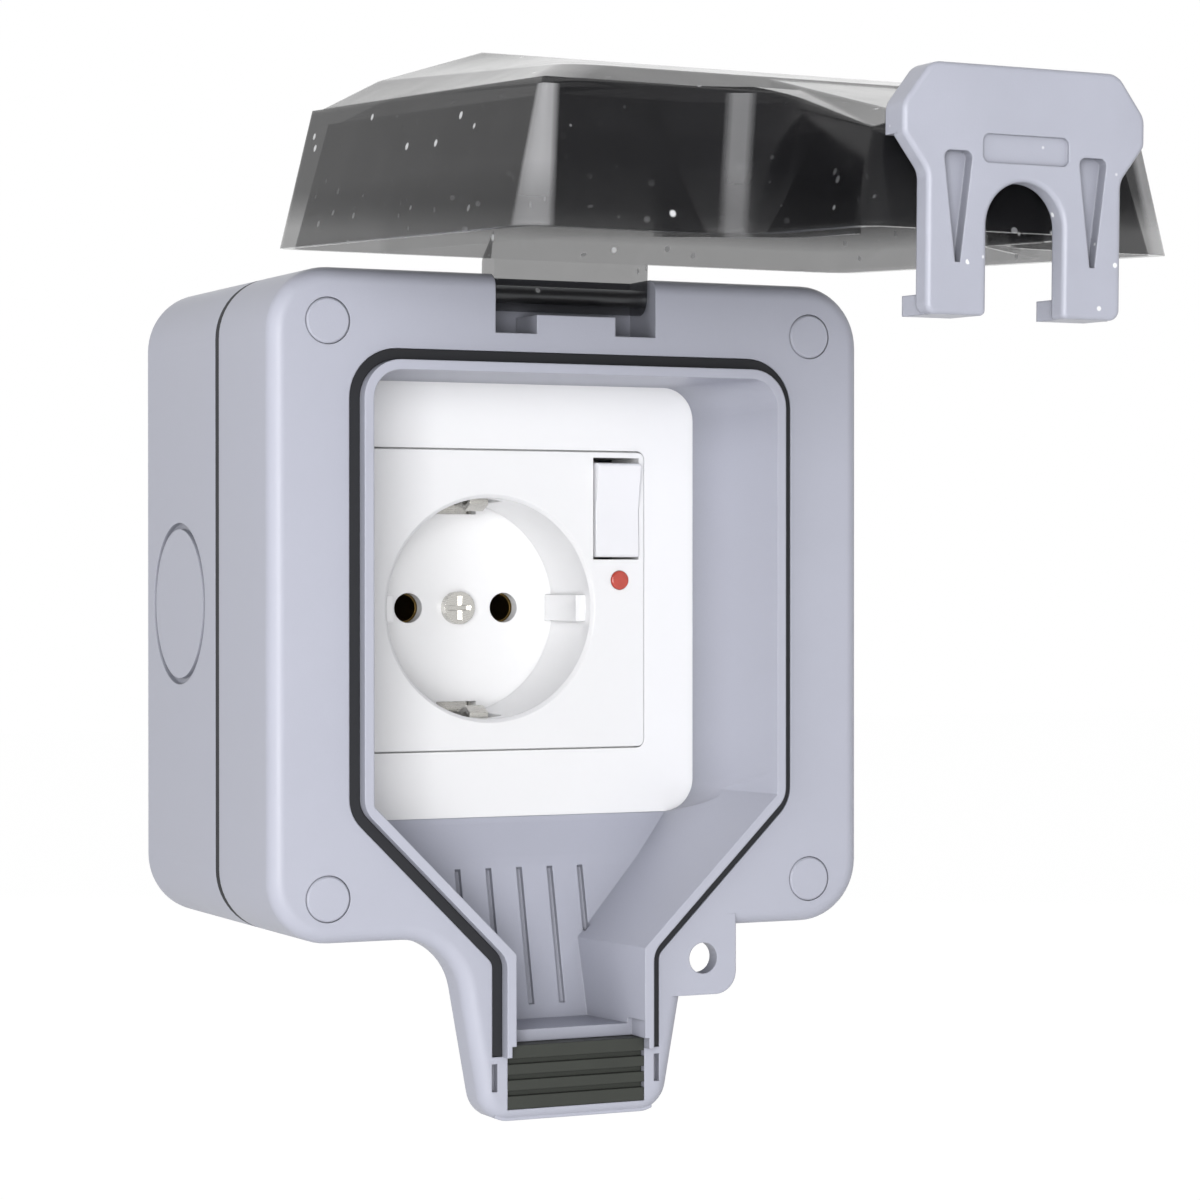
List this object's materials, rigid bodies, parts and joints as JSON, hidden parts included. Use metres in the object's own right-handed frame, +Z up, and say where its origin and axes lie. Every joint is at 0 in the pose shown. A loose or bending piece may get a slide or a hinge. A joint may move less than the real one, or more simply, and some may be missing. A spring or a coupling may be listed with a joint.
{
  "type": "weatherproof socket",
  "caption": "Wall-mounted outdoor power socket with a hinged smoke lid, snap latch, round two-pin cup with earth clips, rocker switch and cable outlet.",
  "frame": {"origin": "centre of the back box's back face, on the wall", "axes": "+Y into the wall, +Z up, +X to the right as seen from the front"},
  "size_m": [0.1128, 0.2148, 0.1804],
  "materials": {
    "housing": "fine satin moulding",
    "gasket": "matt black rubber",
    "steel": "plated screw steel",
    "caps": "fine satin moulding",
    "cable_rubber": "ribbed dark rubber",
    "white_plate": "smooth white",
    "white_insert": "smooth white",
    "nickel": "nickel plated",
    "brass": "bright",
    "base_plastic": "plain moulding",
    "white_rocker": "smooth white",
    "red_lens": "clear red",
    "lamp_glass": "small glow lamp",
    "zinc": "zinc plated sheet",
    "smoke_lid": "clear smoke grey",
    "latch_plastic": "fine satin moulding"
  },
  "bodies": {
    "housing": {"back_box": "housing", "box_gasket": "gasket", "front_frame": "housing", "frame_screws": "steel", "screw_caps": "caps", "lid_seal": "gasket", "cable_seal": "cable_rubber", "outlet_plate": "white_plate", "socket_insert": "white_insert", "earth_bracket": "nickel", "centre_screw": "nickel", "live_contact": "brass", "neutral_contact": "brass", "terminal_screws": "steel", "mechanism_base": "base_plastic", "switch_contact": "brass", "indicator_lens": "red_lens", "indicator_lamp": "lamp_glass", "support_frame": "zinc", "strap_screws": "steel", "hinge_pin": "steel"},
    "cover": {"lid": "smoke_lid", "latch_pin": "steel"},
    "clip": {"latch": "latch_plastic"},
    "rocker": {"switch_rocker": "white_rocker", "moving_contact": "brass"}
  },
  "joints": [
    {"name": "lid_hinge", "type": "hinge", "parent": "housing", "child": "cover", "pos_m": [0, -0.063, 0.054], "axis": [1, 0, 0], "range_deg": [-15, 87]},
    {"name": "latch_pivot", "type": "hinge", "parent": "cover", "child": "clip", "pos_m": [0, -0.20984, 0.06233], "axis": [-1, 0, 0], "range_deg": [-8, 28]},
    {"name": "rocker_pivot", "type": "hinge", "parent": "housing", "child": "rocker", "pos_m": [0.0198, -0.0385, 0.0173], "axis": [-1, 0, 0], "range_deg": [0, 8]}
  ]
}
